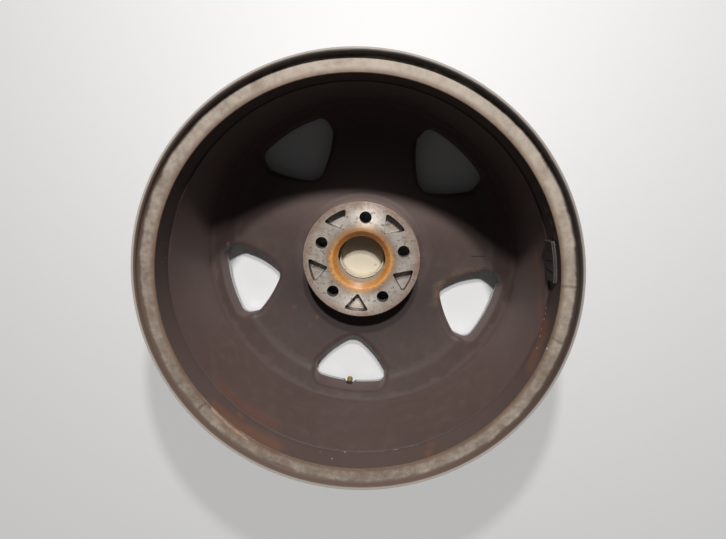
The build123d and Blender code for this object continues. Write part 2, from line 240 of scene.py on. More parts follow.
# painted light: a lit strip on the outer wall of the left window
strip = stroke(
    tree, place,
    [(-0.1858, -0.0019, 0.0399), (-0.1915, -0.0192, 0.0189), (-0.1894, -0.0325, 0.0240)], 0.0050,
)
strip = add(tree, "Math", {0: strip, 1: 0.55}, operation="MULTIPLY")
colour = add(tree, "Mix", {0: strip, 6: colour, 7: linear("8E7F76")}, data_type="RGBA")
scrape = spots(tree, place, [(0.1158, 0.1697, 0.1019), (0.1128, 0.1753, 0.1683)], 0.0025)
edge = worn_edge(tree, place, 0.0008)
below_ledge = add(
    tree, "MapRange", {"Value": height, "From Min": ledge_z - 0.010, "From Max": ledge_z - 0.020},
)
edge = add(tree, "Math", {0: edge, 1: below_ledge}, operation="MULTIPLY")
bare = add(tree, "Math", {0: edge, 1: scrape}, operation="MAXIMUM")
bare = add(tree, "Math", {0: bare, 1: 0.7}, operation="MULTIPLY")
colour = add(tree, "Mix", {0: bare, 6: colour, 7: linear("A1968D")}, data_type="RGBA")
crack = stroke(tree, place, [(0.1488, 0.0148, 0.0295), (0.1670, 0.0175, 0.0329)], 0.0014)
crack = add(tree, "Math", {0: crack, 1: 0.8}, operation="MULTIPLY")
colour = add(tree, "Mix", {0: crack, 6: colour, 7: linear("231B18")}, data_type="RGBA")
rough = add(tree, "MapRange", {"Value": mottle, "To Min": 0.48, "To Max": 0.72})
bump = add(tree, "Bump", {"Height": grain, "Strength": 0.35, "Distance": 0.00025})
wave = add(tree, "Bump", {"Height": mottle, "Strength": 0.2, "Distance": 0.0008, "Normal": bump})
bsdf = add(
    tree, "BsdfPrincipled",
    {"Base Color": colour, "Roughness": rough, "Normal": wave, "Diffuse Roughness": 0.9,
     "Sheen Weight": 0.15, "Sheen Roughness": 0.5, "Sheen Tint": linear("BFA396")},
)
add(tree, "OutputMaterial", {"Surface": bsdf})

# Bare aluminium of the inboard lip, dulled by oxide and road grime: pale, blotchy and dry, and
# bright only at the knocked outer edge. Old paint is left on the ledge. Its clouds are 60 mm
# across, the blotches of oxide 26 mm, the mottling 6 mm and the fine pitting 0.7 mm.
lip = new_material("oxidised_aluminium_lip")
tree = lip.node_tree
place, across, upwards, height, radius = wheel_place(tree)
cloud = add(tree, "TexNoise", {"Vector": place, "Scale": 16, "Detail": 5, "Roughness": 0.6})
blotch = add(
    tree, "TexNoise",
    {"Vector": place, "Scale": 38, "Detail": 6, "Roughness": 0.62, "Distortion": 0.4},
)
mottle = add(tree, "TexNoise", {"Vector": place, "Scale": 160, "Detail": 6, "Roughness": 0.65})
grain = add(tree, "TexNoise", {"Vector": place, "Scale": 1400, "Detail": 3})
# the annulus is darker towards the lower left, and grimy in clouds, blotches and mottling
lower_left = add(tree, "Math", {0: across, 1: 0.2, 2: upwards}, operation="MULTIPLY_ADD")
grime = add(
    tree, "MapRange",
    {"Value": lower_left, "From Min": 0.20, "From Max": -0.06, "To Min": -0.02, "To Max": 0.20},
)
grime = add(tree, "Math", {0: cloud, 1: 0.40, 2: grime}, operation="MULTIPLY_ADD")
grime = add(tree, "Math", {0: blotch, 1: 0.40, 2: grime}, operation="MULTIPLY_ADD")
grime = add(tree, "Math", {0: mottle, 1: 0.45, 2: grime}, operation="MULTIPLY_ADD")
grime = add(
    tree, "MapRange", {"Value": grime, "From Min": 0.475, "From Max": 1.045},
    interpolation_type="SMOOTHSTEP",
)
colour = add(tree, "Mix", {0: grime, 6: linear("C9BBAB"), 7: linear("7A6B5F")}, data_type="RGBA")
tan = add(tree, "MapRange", {"Value": blotch, "From Min": 0.52, "From Max": 0.74, "To Max": 0.30})
colour = add(tree, "Mix", {0: tan, 6: colour, 7: linear("9C7A5E")}, data_type="RGBA")
# grime thickens towards the inner edge of the annulus
wander = add(tree, "MapRange", {"Value": blotch, "To Min": -0.0030, "To Max": 0.0030})
edge_r = add(tree, "Math", {0: radius, 1: wander}, operation="ADD")
inner = add(
    tree, "MapRange",
    {"Value": edge_r, "From Min": lip_inner_r + 0.0060, "From Max": lip_inner_r - 0.0010,
     "To Max": 0.9},
    interpolation_type="SMOOTHSTEP",
)
inner_colour = add(
    tree, "Mix", {0: blotch, 6: linear("5F4A3E"), 7: linear("8C6A50")}, data_type="RGBA",
)
colour = add(tree, "Mix", {0: inner, 6: colour, 7: inner_colour}, data_type="RGBA")
# scuffs that tyre tools have left across the annulus, and its inner edge rubbed bright
scuff_width = 0.0030
scuffs = stroke(tree, place, [(0.2118, 0.0259, lip_z), (0.2302, 0.0264, lip_z)], scuff_width)
for start, end in (
    ((0.2139, -0.0307, lip_z), (0.2231, -0.0352, lip_z)),
    ((-0.1500, -0.1500, lip_z), (-0.1600, -0.1590, lip_z)),
):
    scuff = stroke(tree, place, [start, end], scuff_width)
    scuffs = add(tree, "Math", {0: scuffs, 1: scuff}, operation="MAXIMUM")
scuffs = add(tree, "Math", {0: scuffs, 1: 0.5}, operation="MULTIPLY")
colour = add(tree, "Mix", {0: scuffs, 6: colour, 7: linear("5C4A3E")}, data_type="RGBA")
rubbed = stroke(
    tree, place, [(-0.1455, -0.1585, lip_z), (-0.1265, -0.1755, lip_z), (-0.1040, -0.1907, lip_z)],
    scuff_width,
)
rubbed = add(tree, "Math", {0: rubbed, 1: 0.7}, operation="MULTIPLY")
colour = add(tree, "Mix", {0: rubbed, 6: colour, 7: linear("CDBBA6")}, data_type="RGBA")
# grime covers the curl up to the tip, with painted shade making it darkest at the upper right, and
# it is thinner along the rim
curl = add(
    tree, "MapRange", {"Value": edge_r, "From Min": curl_r, "From Max": curl_r + 0.0032},
    interpolation_type="SMOOTHSTEP",
)
slant = add(tree, "Math", {0: across, 1: 0.5, 2: upwards}, operation="MULTIPLY_ADD")
curl_painted_shade = add(tree, "MapRange", {"Value": slant, "From Min": -0.16, "From Max": 0.25})
curl_colour = add(
    tree, "Mix", {0: curl_painted_shade, 6: linear("6E5A4E"), 7: linear("2C2321")}, data_type="RGBA",
)
colour = add(tree, "Mix", {0: curl, 6: colour, 7: curl_colour}, data_type="RGBA")
rim = add(
    tree, "MapRange",
    {"Value": edge_r, "From Min": flange_r - 0.0034, "From Max": flange_r - 0.0016, "To Max": 0.55},
    interpolation_type="SMOOTHSTEP",
)
colour = add(tree, "Mix", {0: rim, 6: colour, 7: linear("7F7468")}, data_type="RGBA")
# below the annulus the ledge still has its old paint, with painted shade over its upper half
below = add(
    tree, "MapRange", {"Value": height, "From Min": lip_z - 0.0002, "From Max": lip_z - 0.0014},
    interpolation_type="SMOOTHSTEP",
)
old_paint = add(tree, "Mix", {0: cloud, 6: linear("53443F"), 7: linear("604F4A")}, data_type="RGBA")
old_paint_painted_shade = add(
    tree, "MapRange", {"Value": upwards, "From Min": -0.09, "From Max": 0.03, "To Max": 0.75},
)
old_paint = add(tree, "Mix", {0: old_paint_painted_shade, 6: old_paint, 7: linear("352B28")}, data_type="RGBA")
colour = add(tree, "Mix", {0: below, 6: colour, 7: old_paint}, data_type="RGBA")
# painted shade along the step under the ledge, damping the light its fillet catches
step_painted_shade = add(
    tree, "MapRange",
    {"Value": height, "From Min": ledge_z + 0.0018, "From Max": ledge_z + 0.0010, "To Max": 0.28},
)
colour = add(tree, "Mix", {0: step_painted_shade, 6: colour, 7: linear("38261F")}, data_type="RGBA")
# what old weights have left on the ledge: rust, scraps of tape glue, and white chips
stain = stroke(
    tree, place,
    [(-0.1440, -0.1569, 0.2026), (-0.1191, -0.1769, 0.2059), (-0.0967, -0.1895, 0.2011),
     (-0.0730, -0.1997, 0.2003)],
    0.022,
)
stain_right = stroke(
    tree, place, [(0.2109, -0.0200, 0.185), (0.2070, -0.0470, 0.190), (0.2002, -0.0697, 0.194)],
    0.018,
)
stain_low = spots(
    tree, place, [(-0.1189, -0.1748, 0.1868), (0.1055, -0.1840, 0.1878), (0.1030, -0.1870, 0.2000)],
    0.009,
)
stain = add(tree, "Math", {0: stain, 1: stain_right}, operation="MAXIMUM")
stain = add(tree, "Math", {0: stain, 1: stain_low}, operation="MAXIMUM")
stain = add(tree, "Math", {0: stain, 1: 0.36}, operation="MULTIPLY")
colour = add(tree, "Mix", {0: stain, 6: colour, 7: linear("8A5A3E")}, data_type="RGBA")
glue = spots(
    tree, place, [(0.1866, 0.1010, 0.1961), (0.1931, 0.0887, 0.1987), (0.1990, 0.0751, 0.2008)],
    0.006,
)
glue = add(tree, "Math", {0: glue, 1: 0.5}, operation="MULTIPLY")
colour = add(tree, "Mix", {0: glue, 6: colour, 7: linear("8B7A6A")}, data_type="RGBA")
white = spots(
    tree, place,
    [(-0.2075, 0.0439, 0.2047), (-0.2111, 0.0207, 0.1848), (-0.2121, 0.0039, 0.1842),
     (-0.0215, -0.2110, 0.1860), (-0.0063, -0.2120, 0.1937), (0.0078, -0.2112, 0.1797),
     (0.2078, -0.0374, 0.1858), (0.2098, -0.0430, lip_z), (0.2115, -0.0060, 0.1812),
     (0.2108, -0.0125, 0.1815), (0.2100, -0.0190, 0.1822), (0.2085, -0.0300, 0.1830),
     (0.2060, -0.0500, 0.1900), (0.2020, -0.0640, 0.2040)],
    0.0014,
)
scratch = stroke(
    tree, place, [(0.1958, 0.0665, 0.1825), (0.1990, 0.0667, 0.1910), (0.2018, 0.0669, 0.2000)],
    0.0011,
)
# bare metal: nicks on the flange's tip and where tyre tools have scraped, and the knocked rim
nicks = worn_edge(tree, place, 0.0007)
knocked = add(
    tree, "MapRange",
    {"Value": height, "From Min": flange_tip_z - 0.0016, "From Max": flange_tip_z - 0.0006},
)
scraped = spots(
    tree, place, [(0.0690, -0.1970, 0.1800), (-0.1500, -0.1500, lip_z), (-0.1150, -0.1830, lip_z)],
    0.032,
)
where = add(tree, "Math", {0: knocked, 1: scraped}, operation="MAXIMUM")
where = add(tree, "MapRange", {"Value": where, "To Min": 0.03})
nicks = add(tree, "Math", {0: nicks, 1: where}, operation="MULTIPLY")
knocked_r = add(tree, "Math", {0: upwards, 1: -0.003, 2: radius}, operation="MULTIPLY_ADD")
outside = add(
    tree, "MapRange",
    {"Value": knocked_r, "From Min": flange_r - 0.0036, "From Max": flange_r - 0.0024},
)
worn_there = add(
    tree, "MapRange",
    {"Value": slant, "From Min": 0.20, "From Max": -0.05, "To Min": 0.50, "To Max": 0.9},
)
outside = add(tree, "Math", {0: outside, 1: worn_there}, operation="MULTIPLY")
bright = add(tree, "Math", {0: white, 1: scratch}, operation="MAXIMUM")
bright = add(tree, "Math", {0: bright, 1: nicks}, operation="MAXIMUM")
bright = add(tree, "Math", {0: bright, 1: outside}, operation="MAXIMUM")
colour = add(tree, "Mix", {0: bright, 6: colour, 7: linear("D6CEC4")}, data_type="RGBA")
metal = add(tree, "Math", {0: bright, 1: 0.5}, operation="MULTIPLY")
rough = add(tree, "MapRange", {"Value": mottle, "To Min": 0.50, "To Max": 0.80})
bump = add(tree, "Bump", {"Height": grain, "Strength": 0.3, "Distance": 0.0002})
pits = add(tree, "Bump", {"Height": blotch, "Strength": 0.25, "Distance": 0.0006, "Normal": bump})
bsdf = add(
    tree, "BsdfPrincipled",
    {"Base Color": colour, "Roughness": rough, "Metallic": metal, "Normal": pits,
     "Diffuse Roughness": 0.8},
)
add(tree, "OutputMaterial", {"Surface": bsdf})

# Machined aluminium of the pad: turning marks throw the light in a fan towards and away from the
# lamp, brown stains creep in from the rim, and the steel hub has left orange rust round the bore.
# Clouds of 24 mm, tan patches of 13 mm, pits of 4 mm and glints of 2 mm lie on turning marks that
# are drawn 0.4 mm apart, coarser than the real feed so that they show.
pad = new_material("machined_aluminium_with_hub_rust")
tree = pad.node_tree
place, across, upwards, height, radius = wheel_place(tree)
cloud = add(tree, "TexNoise", {"Vector": place, "Scale": 42, "Detail": 6, "Roughness": 0.65})
mottle = add(tree, "TexNoise", {"Vector": place, "Scale": 230, "Detail": 5, "Roughness": 0.65})
spark = add(tree, "TexNoise", {"Vector": place, "Scale": 540, "Detail": 3, "Roughness": 0.6})
lines_place = add(tree, "CombineXYZ", {"X": radius, "Y": height})
lines = add(tree, "TexNoise", {"Vector": lines_place, "Scale": 2600, "Detail": 2})
colour = add(tree, "Mix", {0: cloud, 6: linear("DACCBE"), 7: linear("F6F0E8")}, data_type="RGBA")
shine = add(tree, "MapRange", {"Value": spark, "From Min": 0.54, "From Max": 0.68, "To Max": 0.7})
colour = add(tree, "Mix", {0: shine, 6: colour, 7: linear("E2DCD4")}, data_type="RGBA")
tan = add(tree, "TexNoise", {"Vector": place, "Scale": 75, "Detail": 5, "Roughness": 0.7})
tan = add(tree, "MapRange", {"Value": tan, "From Min": 0.48, "From Max": 0.66, "To Max": 0.6})
colour = add(tree, "Mix", {0: tan, 6: colour, 7: linear("B4977C")}, data_type="RGBA")
# wiped cleaner in streaks from the bore outwards
around = add(tree, "CombineXYZ", {"X": across, "Y": upwards})
around = add(tree, "VectorMath", {0: around}, operation="NORMALIZE")
wiped = add(tree, "TexNoise", {"Vector": around, "Scale": 26, "Detail": 6, "Roughness": 0.7})
wiped = add(tree, "MapRange", {"Value": wiped, "From Min": 0.50, "From Max": 0.66, "To Max": 0.6})
colour = add(tree, "Mix", {0: wiped, 6: colour, 7: linear("EAE3DB")}, data_type="RGBA")
pit = add(tree, "MapRange", {"Value": mottle, "From Min": 0.46, "From Max": 0.34, "To Max": 0.75})
colour = add(tree, "Mix", {0: pit, 6: colour, 7: linear("77624F")}, data_type="RGBA")
# brown stains from the rim inwards
stain_r = add(tree, "Math", {0: cloud, 1: 0.026, 2: radius}, operation="MULTIPLY_ADD")
stain_r = add(tree, "Math", {0: mottle, 1: 0.034, 2: stain_r}, operation="MULTIPLY_ADD")
stain = add(
    tree, "MapRange", {"Value": stain_r, "From Min": 0.0870, "From Max": 0.1120, "To Max": 0.85},
    interpolation_type="SMOOTHSTEP",
)
colour = add(tree, "Mix", {0: stain, 6: colour, 7: linear("86644C")}, data_type="RGBA")
# rust: deep orange on the bore's chamfer, brightest just outside it, then a tan haze
rust_r = add(tree, "Math", {0: cloud, 1: -0.006, 2: radius}, operation="MULTIPLY_ADD")
rust_r = add(tree, "Math", {0: mottle, 1: -0.007, 2: rust_r}, operation="MULTIPLY_ADD")
haze = add(
    tree, "MapRange", {"Value": rust_r, "From Min": 0.0475, "From Max": 0.0345, "To Max": 0.80},
    interpolation_type="SMOOTHSTEP",
)
colour = add(tree, "Mix", {0: haze, 6: colour, 7: linear("BF9A70")}, data_type="RGBA")
rust = add(
    tree, "MapRange", {"Value": rust_r, "From Min": 0.0388, "From Max": 0.0322},
    interpolation_type="SMOOTHSTEP",
)
rust_tone = add(tree, "MapRange", {"Value": radius, "From Min": 0.0365, "From Max": bore_lead_r})
rust_colour = add(
    tree, "Mix", {0: rust_tone, 6: linear("C0813F"), 7: linear("E5A55E")}, data_type="RGBA",
)
rust_dark = add(
    tree, "MapRange", {"Value": mottle, "From Min": 0.50, "From Max": 0.36, "To Max": 0.45},
)
rust_colour = add(
    tree, "Mix", {0: rust_dark, 6: rust_colour, 7: linear("9A5524")}, data_type="RGBA",
)
# painted shade darkens the rust above the bore, and painted light makes it paler below it
rust_painted_shade_above = add(
    tree, "MapRange", {"Value": upwards, "From Min": 0.005, "From Max": 0.032, "To Max": 0.62},
)
rust_colour = add(tree, "Mix", {0: rust_painted_shade_above, 6: rust_colour, 7: linear("7E4424")}, data_type="RGBA")
rust_painted_light_below = add(
    tree, "MapRange", {"Value": upwards, "From Min": -0.012, "From Max": -0.036, "To Max": 0.28},
)
rust_colour = add(tree, "Mix", {0: rust_painted_light_below, 6: rust_colour, 7: linear("F0B472")}, data_type="RGBA")
colour = add(tree, "Mix", {0: rust, 6: colour, 7: rust_colour}, data_type="RGBA")
# inside the bore the rust thins out, and the walls of the bolt holes and pockets are near black
# with painted shade; the pockets' floors stay clean
in_bore = add(
    tree, "MapRange",
    {"Value": height, "From Min": pad_z - 0.0050, "From Max": pad_z - 0.0075, "To Max": 0.8},
)
near_axis = add(tree, "MapRange", {"Value": radius, "From Min": 0.0335, "From Max": 0.0330})
in_bore = add(tree, "Math", {0: in_bore, 1: near_axis}, operation="MULTIPLY")
colour = add(tree, "Mix", {0: in_bore, 6: colour, 7: linear("A89A8D")}, data_type="RGBA")
holes_painted_shade = add(
    tree, "MapRange", {"Value": height, "From Min": pad_z - 0.0004, "From Max": pad_z - 0.0020},
)
out_of_bore = add(tree, "MapRange", {"Value": radius, "From Min": 0.0400, "From Max": 0.0410})
holes_painted_shade = add(tree, "Math", {0: holes_painted_shade, 1: out_of_bore}, operation="MULTIPLY")
above_floor = add(
    tree, "MapRange",
    {"Value": height, "From Min": pad_z - pocket_depth + 0.0002,
     "From Max": pad_z - pocket_depth + 0.0008},
)
holes_painted_shade = add(tree, "Math", {0: holes_painted_shade, 1: above_floor}, operation="MULTIPLY")
holes_painted_shade = add(tree, "Math", {0: holes_painted_shade, 1: 0.85}, operation="MULTIPLY")
colour = add(tree, "Mix", {0: holes_painted_shade, 6: colour, 7: linear("2B211B")}, data_type="RGBA")
edge = worn_edge(tree, place, 0.0011)
edge = add(tree, "Math", {0: edge, 1: 0.8}, operation="MULTIPLY")
colour = add(tree, "Mix", {0: edge, 6: colour, 7: linear("E6E0D8")}, data_type="RGBA")
# rust, stains and the painted shade in the holes don't shine as metal does
dull = add(tree, "Math", {0: rust, 1: stain}, operation="MAXIMUM")
dull = add(tree, "Math", {0: dull, 1: holes_painted_shade}, operation="MAXIMUM")
metal = add(tree, "MapRange", {"Value": dull, "To Min": 0.50, "To Max": 0.0})
rough = add(tree, "MapRange", {"Value": cloud, "To Min": 0.28, "To Max": 0.52})
bump = add(tree, "Bump", {"Height": lines, "Strength": 0.25, "Distance": 0.0001})
pits = add(tree, "Bump", {"Height": mottle, "Strength": 0.35, "Distance": 0.0004, "Normal": bump})
tangent = add(tree, "Tangent", direction_type="RADIAL", axis="Z")
bsdf = add(
    tree, "BsdfPrincipled",
    {"Base Color": colour, "Roughness": rough, "Metallic": metal, "Normal": pits,
     "Anisotropic": 0.75, "Anisotropic Rotation": 0.25, "Tangent": tangent,
     "Diffuse Roughness": 0.3},
)
add(tree, "OutputMaterial", {"Surface": bsdf})

# Silver lacquer of the front: smooth, with a light metallic sheen, stone chips 10 mm apart and
# road dirt in clouds of 70 mm. Its flakes are drawn 0.24 mm wide, some ten times the real size.
lacquer = new_material("silver_wheel_lacquer")
tree = lacquer.node_tree
place = add(tree, "TexCoord").node.outputs["Object"]
cloud = add(tree, "TexNoise", {"Vector": place, "Scale": 14, "Detail": 5, "Roughness": 0.6})
flake = add(tree, "TexNoise", {"Vector": place, "Scale": 4200, "Detail": 1})
dirt = add(tree, "MapRange", {"Value": cloud, "From Min": 0.45, "From Max": 0.8, "To Max": 0.45})
colour = add(tree, "Mix", {0: flake, 6: linear("A2A5A7"), 7: linear("B7BABB")}, data_type="RGBA")
colour = add(tree, "Mix", {0: dirt, 6: colour, 7: linear("7C736B")}, data_type="RGBA")
chip = add(tree, "TexVoronoi", {"Vector": place, "Scale": 95, "Randomness": 1.0})
chip = add(tree, "Math", {0: cloud, 1: 0.12, 2: chip}, operation="MULTIPLY_ADD")
chip = add(tree, "MapRange", {"Value": chip, "From Min": 0.135, "From Max": 0.11})
colour = add(tree, "Mix", {0: chip, 6: colour, 7: linear("6E6A66")}, data_type="RGBA")
edge = worn_edge(tree, place, 0.0008)
colour = add(tree, "Mix", {0: edge, 6: colour, 7: linear("CFCBC6")}, data_type="RGBA")
metal = add(tree, "MapRange", {"Value": dirt, "To Min": 0.55, "To Max": 0.0, "From Max": 0.45})
rough = add(tree, "MapRange", {"Value": cloud, "To Min": 0.25, "To Max": 0.5})
bump = add(tree, "Bump", {"Height": chip, "Strength": 0.4, "Distance": 0.0002}, invert=True)
bsdf = add(
    tree, "BsdfPrincipled",
    {"Base Color": colour, "Roughness": rough, "Metallic": metal, "Normal": bump,
     "Coat Weight": 0.5, "Coat Roughness": 0.2},
)
add(tree, "OutputMaterial", {"Surface": bsdf})

# Tyre side: thin grey primer over the cast grain of 1.1 mm, cloudy over 50 mm, with black rubber
# rubbed off the tyre's beads on both seats in rings about 1 mm apart.
primer = new_material("grey_primer_with_rubber_marks")
tree = primer.node_tree
place, _, _, height, radius = wheel_place(tree)
cloud = add(tree, "TexNoise", {"Vector": place, "Scale": 20, "Detail": 6, "Roughness": 0.65})
grain = add(tree, "TexNoise", {"Vector": place, "Scale": 900, "Detail": 2})
colour = add(tree, "Mix", {0: cloud, 6: linear("8B8986"), 7: linear("A09D98")}, data_type="RGBA")
rub_place = add(tree, "CombineXYZ", {"X": radius, "Y": height})
rub = add(tree, "TexNoise", {"Vector": rub_place, "Scale": 900, "Detail": 3})
rub = add(tree, "Math", {0: cloud, 1: 0.8, 2: rub}, operation="MULTIPLY_ADD")
rub = add(tree, "MapRange", {"Value": rub, "From Min": 0.82, "From Max": 1.05})
from_middle = add(tree, "Math", {0: height, 1: flange_tip_z / 2}, operation="SUBTRACT")
from_middle = add(tree, "Math", {0: from_middle}, operation="ABSOLUTE")
on_seat = add(tree, "MapRange", {"Value": from_middle, "From Min": 0.073, "From Max": 0.077})
rub = add(tree, "Math", {0: rub, 1: on_seat}, operation="MULTIPLY")
colour = add(tree, "Mix", {0: rub, 6: colour, 7: linear("23211F")}, data_type="RGBA")
rough = add(tree, "MapRange", {"Value": rub, "To Min": 0.42, "To Max": 0.7})
bump = add(tree, "Bump", {"Height": grain, "Strength": 0.3, "Distance": 0.0002})
bsdf = add(tree, "BsdfPrincipled", {"Base Color": colour, "Roughness": rough, "Normal": bump})
add(tree, "OutputMaterial", {"Surface": bsdf})

bolt_angles = [math.radians(90 + 360 / bolt_count * i) for i in range(bolt_count)]
bolts = [
    (bolt_circle_r * math.cos(angle), bolt_circle_r * math.sin(angle)) for angle in bolt_angles
]


def finish_of(face):
    """Which of the casting's finishes a face has, from where it is and where it looks."""
    x, y, z = face.center
    r = math.hypot(x, y)
    outward = (face.normal.x * x + face.normal.y * y) / max(r, 1e-6)
    from_bolt = min(math.hypot(x - bx, y - by) for bx, by in bolts)
    looks_down = face.normal.z < -0.1
    on_pad = r < pad_r + 0.0001 and z > pad_z - pad_edge_depth
    in_pocket = r < pad_r - 0.0012 and z > pad_z - pocket_depth - 0.0015
    if on_pad or in_pocket or r < bore_r + 0.0021 and z > groove_z:
        return pad
    if r > flange_r - 0.0013 and z > lip_z + 0.0003:
        return lip
    between_flanges = r > barrel_outer_r and 0.004 < z < flange_tip_z - 0.0014
    if between_flanges and (outward > 0.05 or looks_down and z > 0.15):
        return primer
    if z > ledge_z - 0.0008:
        return lip
    if looks_down or from_bolt < bolt_seat_r and z < bolt_seat_z or r < front_recess_r:
        return lacquer
    if r > front_lip_r and z < front_lip_z:
        return lacquer
    return paint


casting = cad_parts["wheel_casting"]
finishes = [paint, lip, pad, lacquer, primer]
casting.data.materials.clear()
for finish in finishes:
    casting.data.materials.append(finish)
for face in casting.data.polygons:
    face.material_index = finishes.index(finish_of(face))


# Centre cap: moulded plastic pressed in from the front, seen through the bore from inside.
# Cream natural plastic with a moulded texture of 0.7 mm and clouds of dust 17 mm across. Painted
# shade darkens the corner between its floor and its wall, the wall but for its bottom, and the
# upper half of its floor.
cap_corner_r = 0.0285
plastic = new_material("cream_moulded_plastic")
tree = plastic.node_tree
place, _, upwards, _, radius = wheel_place(tree)
cloud = add(tree, "TexNoise", {"Vector": place, "Scale": 60, "Detail": 5, "Roughness": 0.6})
grain = add(tree, "TexNoise", {"Vector": place, "Scale": 1500, "Detail": 2})
colour = add(tree, "Mix", {0: cloud, 6: linear("D6CBB4"), 7: linear("E2D8C4")}, data_type="RGBA")
# painted shade in the corner between floor and wall
from_corner = add(tree, "Math", {0: radius, 1: cap_corner_r}, operation="SUBTRACT")
from_corner = add(tree, "Math", {0: from_corner}, operation="ABSOLUTE")
corner = add(
    tree, "MapRange",
    {"Value": from_corner, "From Min": 0.0007, "From Max": 0.0002, "To Max": 0.35},
)
colour = add(tree, "Mix", {0: corner, 6: colour, 7: linear("4A3F33")}, data_type="RGBA")
# painted shade on the wall, all round but the bottom
wall = add(
    tree, "MapRange",
    {"Value": radius, "From Min": cap_corner_r + 0.0003, "From Max": cap_corner_r + 0.0007,
     "To Max": 0.7},
)
upper = add(tree, "MapRange", {"Value": upwards, "From Min": -0.012, "From Max": 0.004})
wall = add(tree, "Math", {0: wall, 1: upper}, operation="MULTIPLY")
colour = add(tree, "Mix", {0: wall, 6: colour, 7: linear("5F564A")}, data_type="RGBA")
# painted shade over the upper half of the floor
floor_painted_shade = add(
    tree, "MapRange", {"Value": upwards, "From Min": 0.000, "From Max": 0.012, "To Max": 0.45},
)
colour = add(tree, "Mix", {0: floor_painted_shade, 6: colour, 7: linear("6E593C")}, data_type="RGBA")
smudge = spots(tree, place, [(0.0195, -0.0135, 0.0210)], 0.003)
smudge = add(tree, "Math", {0: smudge, 1: 0.5}, operation="MULTIPLY")
colour = add(tree, "Mix", {0: smudge, 6: colour, 7: linear("8A7C68")}, data_type="RGBA")
rough = add(tree, "MapRange", {"Value": cloud, "To Min": 0.42, "To Max": 0.6})
bump = add(tree, "Bump", {"Height": grain, "Strength": 0.2, "Distance": 0.0001})
bsdf = add(tree, "BsdfPrincipled", {"Base Color": colour, "Roughness": rough, "Normal": bump})
add(tree, "OutputMaterial", {"Surface": bsdf})
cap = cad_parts["centre_cap"]
cap.data.materials.clear()
cap.data.materials.append(plastic)


# Tyre valve body: black rubber moulded on the stem and snapped into the rim's hole. Dull, a
# little grey with dust and age in spots of 6 mm, and its skin has a grain of 0.5 mm.
rubber = new_material("black_valve_rubber")
tree = rubber.node_tree
place = add(tree, "TexCoord").node.outputs["Object"]
cloud = add(tree, "TexNoise", {"Vector": place, "Scale": 180, "Detail": 5, "Roughness": 0.6})
grain = add(tree, "TexNoise", {"Vector": place, "Scale": 2200, "Detail": 2})
colour = add(tree, "Mix", {0: cloud, 6: linear("1B1A19"), 7: linear("35322F")}, data_type="RGBA")
bump = add(tree, "Bump", {"Height": grain, "Strength": 0.3, "Distance": 0.0001})
bsdf = add(tree, "BsdfPrincipled", {"Base Color": colour, "Roughness": 0.72, "Normal": bump})
add(tree, "OutputMaterial", {"Surface": bsdf})
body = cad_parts["valve_body"]
body.data.materials.clear()
body.data.materials.append(rubber)


# Tyre valve stem and core: turned brass, the stem moulded into the rubber and the core screwed
# into the stem. Tarnish dulls it in spots of 2.5 mm, between which it is still bright yellow.
brass = new_material("tarnished_brass")
tree = brass.node_tree
place = add(tree, "TexCoord").node.outputs["Object"]
cloud = add(tree, "TexNoise", {"Vector": place, "Scale": 400, "Detail": 5, "Roughness": 0.6})
colour = add(tree, "Mix", {0: cloud, 6: linear("B4954F"), 7: linear("F2DA94")}, data_type="RGBA")
rough = add(tree, "MapRange", {"Value": cloud, "To Min": 0.6, "To Max": 0.4})
bump = add(tree, "Bump", {"Height": cloud, "Strength": 0.2, "Distance": 0.0001})
bsdf = add(
    tree, "BsdfPrincipled",
    {"Base Color": colour, "Roughness": rough, "Metallic": 1.0, "Normal": bump},
)
add(tree, "OutputMaterial", {"Surface": bsdf})
for name in ("valve_stem", "valve_core"):
    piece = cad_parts[name]
    piece.data.materials.clear()
    piece.data.materials.append(brass)


# Valve thread: the ridge rolled into the stem's open end, of the same brass, for the tyre pump
# and the dust cap. The CAD stem is plain there, so the ridge lies on it as one thin helix.
thread_seat = Vector((0, -0.2090, 0.040504))
thread_axis = Vector((0, 0.5446, -0.8387)).normalized()
thread_start = 0.0246     # distances along the valve's axis
thread_end = 0.0320
thread_pitch = 0.00079
thread_root_r = 0.00380
thread_crest_r = 0.00408
thread_foot_r = thread_root_r - 0.0001     # sunk into the tube
ridge_half_width = 0.36   # as a share of the pitch
steps_a_turn = 24
fade_steps = 12           # the ridge rises and falls in half a turn
sideways = Vector((1, 0, 0))
upright = thread_axis.cross(sideways)
steps = round((thread_end - thread_start) / thread_pitch * steps_a_turn)
vertices, faces = [], []
for step in range(steps + 1):
    angle = 2 * math.pi * step / steps_a_turn
    out = sideways * math.cos(angle) + upright * math.sin(angle)
    along = thread_start + thread_pitch * step / steps_a_turn
    risen = min(1, step / fade_steps, (steps - step) / fade_steps)
    crest_r = thread_root_r + (thread_crest_r - thread_root_r) * risen
    for shift, ridge_r in (
        (-ridge_half_width, thread_foot_r), (0, crest_r), (ridge_half_width, thread_foot_r)
    ):
        vertices.append(thread_seat + thread_axis * (along + shift * thread_pitch) + out * ridge_r)
for step in range(steps):
    a, b = 3 * step, 3 * step + 3
    faces += [(a, b, b + 1, a + 1), (a + 1, b + 1, b + 2, a + 2), (a + 2, b + 2, b, a)]
faces += [(0, 1, 2), (3 * steps + 2, 3 * steps + 1, 3 * steps)]
thread_mesh = bpy.data.meshes.new("valve_thread")
thread_mesh.from_pydata(vertices, [], faces)
thread_mesh.materials.append(brass)
thread = bpy.data.objects.new("valve_thread", thread_mesh)
bpy.context.scene.collection.objects.link(thread)
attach(thread, "root")


